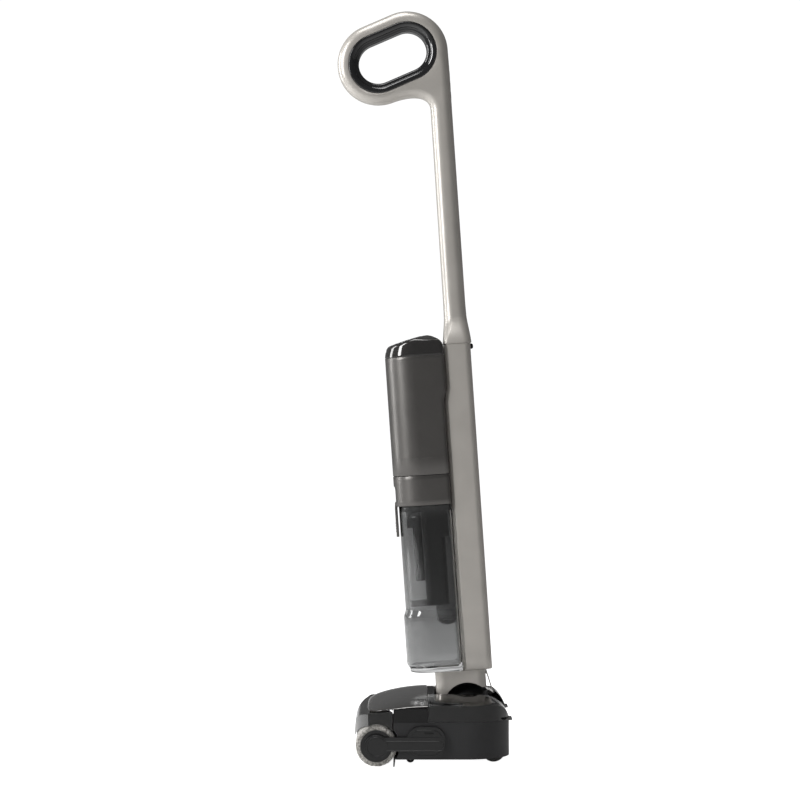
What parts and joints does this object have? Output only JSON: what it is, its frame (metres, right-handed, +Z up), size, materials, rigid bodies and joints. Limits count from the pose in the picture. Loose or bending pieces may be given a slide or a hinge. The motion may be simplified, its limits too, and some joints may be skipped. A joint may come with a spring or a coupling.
{
  "type": "wet dry floor scrubber",
  "caption": "Upright cordless floor washer: driven fleece roller head with wheels and clean water tank, ball neck, column with dirty water tank and motor, and a loop handle.",
  "frame": {"origin": "centre of the overall footprint on the floor", "axes": "+Z up, the roller faces -Y, the user stands at +Y, +X is on the left hand of the user, who stands at +Y and faces -Y"},
  "size_m": [0.2564, 0.2541, 1.0997],
  "materials": {
    "shell_silver": "satin",
    "neck_silver": "satin",
    "gunmetal": "satin",
    "gloss_black": "gloss",
    "visor_grey": "gloss",
    "charcoal": "matte",
    "black_plastic": "matte",
    "clear_tank": "gloss",
    "smoky_tank": "gloss",
    "smoky_window": "gloss",
    "fleece": "matte",
    "filter_paper": "matte",
    "rubber": "matte",
    "steel": "satin",
    "cell_can": "satin",
    "motor_alloy": "satin",
    "brass": "satin",
    "board_green": "satin",
    "tyre": "matte"
  },
  "bodies": {
    "head": {"base_housing": "charcoal", "charge_contacts": "brass", "roller_hood": "black_plastic", "drive_cover": "black_plastic", "drive_belt": "rubber", "roller_arm": "black_plastic", "roller_motor": "steel", "squeegee": "rubber", "suction_duct": "black_plastic", "water_pump": "black_plastic", "spray_bar": "black_plastic", "deck_plate": "black_plastic", "pivot_bracket": "black_plastic", "wheel_axles": "steel"},
    "roller": {"roller_sleeve": "fleece", "roller_core": "black_plastic", "roller_cap_left": "black_plastic", "roller_cap_right": "black_plastic"},
    "motor_shaft": {"motor_pulley": "steel"},
    "rear_wheel_left_body": {"rear_wheel_left": "tyre"},
    "rear_wheel_right_body": {"rear_wheel_right": "tyre"},
    "front_wheel_left_body": {"front_wheel_left": "tyre"},
    "front_wheel_right_body": {"front_wheel_right": "tyre"},
    "roller_cover": {"visor": "visor_grey", "roller_window": "smoky_window"},
    "clean_tank_body": {"clean_tank": "smoky_tank", "tank_cap": "black_plastic"},
    "neck_joint": {"neck_ball": "black_plastic", "neck_hose": "rubber"},
    "column": {"neck_shell": "neck_silver", "swivel_pin": "steel", "hose_guard": "neck_silver", "column_shell": "shell_silver", "column_front": "charcoal", "suction_riser": "black_plastic", "battery_case": "black_plastic", "battery_cells": "cell_can", "control_board": "board_green", "handle_stem": "shell_silver", "handle_shell_left": "shell_silver", "handle_shell_right": "shell_silver", "grip_ring": "gloss_black", "motor_housing": "gunmetal", "top_cap": "gloss_black", "display_lens": "gloss_black", "suction_motor": "motor_alloy", "hepa_filter": "filter_paper"},
    "release_key": {"release_button": "black_plastic"},
    "clean_key": {"clean_button": "black_plastic"},
    "mode_key": {"mode_button": "black_plastic"},
    "power_key": {"power_button": "black_plastic"},
    "fan": {"fan_rotor": "motor_alloy"},
    "dirty_tank_body": {"dirty_tank": "clear_tank", "tank_lid": "gunmetal", "lid_seal": "rubber", "separator": "black_plastic", "float_guide": "black_plastic", "inlet_cup": "smoky_window"},
    "latch": {"lid_latch": "gunmetal"},
    "float_body": {"float": "neck_silver"}
  },
  "joints": [
    {"name": "roller_spin", "type": "hinge", "parent": "head", "child": "roller", "pos_m": [0, -0.0705, 0.0305], "axis": [1, 0, 0], "continuous": true},
    {"name": "motor_spin", "type": "hinge", "parent": "head", "child": "motor_shaft", "pos_m": [0, 0.0011, 0.0367], "axis": [1, 0, 0], "continuous": true},
    {"name": "rear_wheel_left_spin", "type": "hinge", "parent": "head", "child": "rear_wheel_left_body", "pos_m": [0.052, 0.0994, 0.0174], "axis": [1, 0, 0], "continuous": true},
    {"name": "front_wheel_left_spin", "type": "hinge", "parent": "head", "child": "front_wheel_left_body", "pos_m": [0.068, -0.0215, 0.006], "axis": [1, 0, 0], "continuous": true},
    {"name": "rear_wheel_right_spin", "type": "hinge", "parent": "head", "child": "rear_wheel_right_body", "pos_m": [-0.052, 0.0994, 0.0174], "axis": [1, 0, 0], "continuous": true},
    {"name": "front_wheel_right_spin", "type": "hinge", "parent": "head", "child": "front_wheel_right_body", "pos_m": [-0.068, -0.0215, 0.006], "axis": [1, 0, 0], "continuous": true},
    {"name": "roller_cover_lift", "type": "slide", "parent": "head", "child": "roller_cover", "axis": [0, 0.7071, -0.7071], "range_m": [-0.06, 0]},
    {"name": "clean_tank_slide", "type": "slide", "parent": "head", "child": "clean_tank_body", "axis": [0, 1, 0], "range_m": [0, 0.13]},
    {"name": "neck_recline", "type": "hinge", "parent": "head", "child": "neck_joint", "pos_m": [0, 0.0628, 0.0765], "axis": [1, 0, 0], "range_deg": [-70, 0]},
    {"name": "neck_swivel", "type": "hinge", "parent": "neck_joint", "child": "column", "pos_m": [0, 0.0628, 0.0765], "axis": [0, 0.9977, 0.068], "range_deg": [-18, 18]},
    {"name": "release_press", "type": "slide", "parent": "column", "child": "release_key", "axis": [0, -0.9977, -0.068], "range_m": [0, 0.003], "stiffness_N_per_m": 300},
    {"name": "clean_press", "type": "slide", "parent": "column", "child": "clean_key", "axis": [0, -0.9977, -0.068], "range_m": [0, 0.0015], "stiffness_N_per_m": 300},
    {"name": "mode_press", "type": "slide", "parent": "column", "child": "mode_key", "axis": [0, -0.9977, -0.068], "range_m": [0, 0.0015], "stiffness_N_per_m": 300},
    {"name": "power_press", "type": "slide", "parent": "column", "child": "power_key", "axis": [0, -0.9977, -0.068], "range_m": [0, 0.0015], "stiffness_N_per_m": 300},
    {"name": "fan_spin", "type": "hinge", "parent": "column", "child": "fan", "pos_m": [0, -0.01105, 0.52752], "axis": [0, -0.068, 0.9977], "continuous": true},
    {"name": "dirty_tank_slide", "type": "slide", "parent": "column", "child": "dirty_tank_body", "axis": [0, -0.9977, -0.068], "range_m": [0, 0.11]},
    {"name": "latch_press", "type": "hinge", "parent": "dirty_tank_body", "child": "latch", "pos_m": [0, -0.04035, 0.37518], "axis": [-1, 0, 0], "range_deg": [0, 10], "stiffness_Nm_per_rad": 0.3},
    {"name": "float_rise", "type": "slide", "parent": "dirty_tank_body", "child": "float_body", "axis": [0, -0.068, 0.9977], "range_m": [0, 0.06]}
  ],
  "couplings": [
    {"joint": "motor_spin", "follows": "roller_spin", "ratio": 1.6667}
  ]
}
